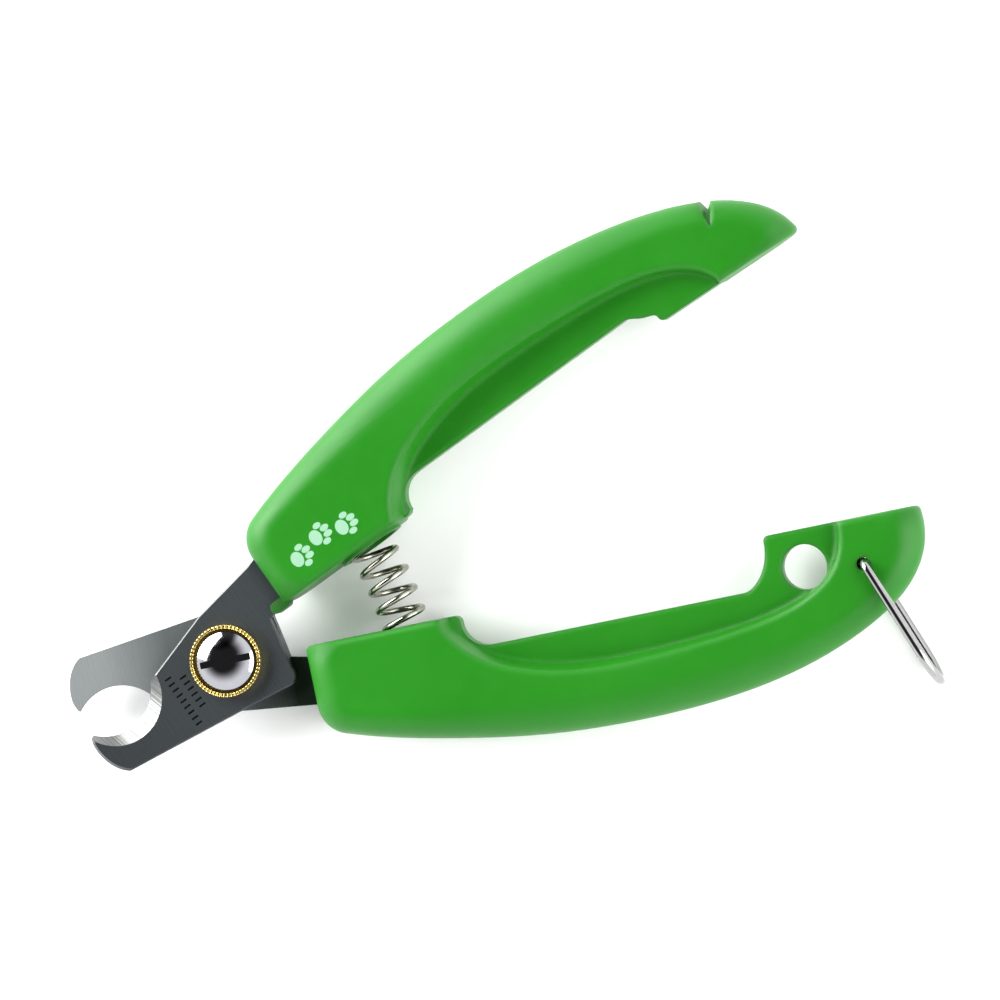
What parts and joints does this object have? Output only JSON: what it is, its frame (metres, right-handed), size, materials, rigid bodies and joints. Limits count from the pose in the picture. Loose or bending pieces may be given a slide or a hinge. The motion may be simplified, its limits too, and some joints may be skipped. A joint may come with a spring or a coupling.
{
  "type": "nail clipper",
  "caption": "Plier-type pet nail clipper with moulded handles, notched blades, a return spring and a wire lock bail.",
  "frame": {"origin": "middle of the box round the open clipper, at the surface it lies on", "axes": "+X from the pivot along the lower handle to its tip, +Y from the lower to the upper handle, +Z out of the flat side that shows the screw head"},
  "size_m": [0.1304, 0.0766, 0.012],
  "materials": {
    "green_plastic": "moulded satin",
    "blade_steel": "ground",
    "brass": "polished",
    "chrome": "polished",
    "zinc_steel": "zinc plated",
    "spring_wire": "nickel plated wire"
  },
  "bodies": {
    "lower_half": {"lower_handle": "green_plastic", "rear_blade": "blade_steel", "pivot_bush": "brass", "pivot_screw": "chrome", "pivot_washer": "zinc_steel", "spring_washer": "zinc_steel", "pivot_nut": "zinc_steel", "return_spring": "spring_wire"},
    "upper_half": {"upper_handle": "green_plastic", "front_blade": "blade_steel"},
    "bail": {"lock_bail": "spring_wire"}
  },
  "joints": [
    {"name": "squeeze", "type": "hinge", "parent": "lower_half", "child": "upper_half", "pos_m": [-0.04042, -0.01385, 0.006], "axis": [0, 0, -1], "range_deg": [0, 23.7], "stiffness_Nm_per_rad": 0.6, "springref_deg": -8.59, "deforming": ["return_spring"]},
    {"name": "bail_swing", "type": "hinge", "parent": "lower_half", "child": "bail", "pos_m": [0.05568, -0.01855, 0.006], "axis": [0, 0, 1], "range_deg": [-60, 154.6]}
  ]
}
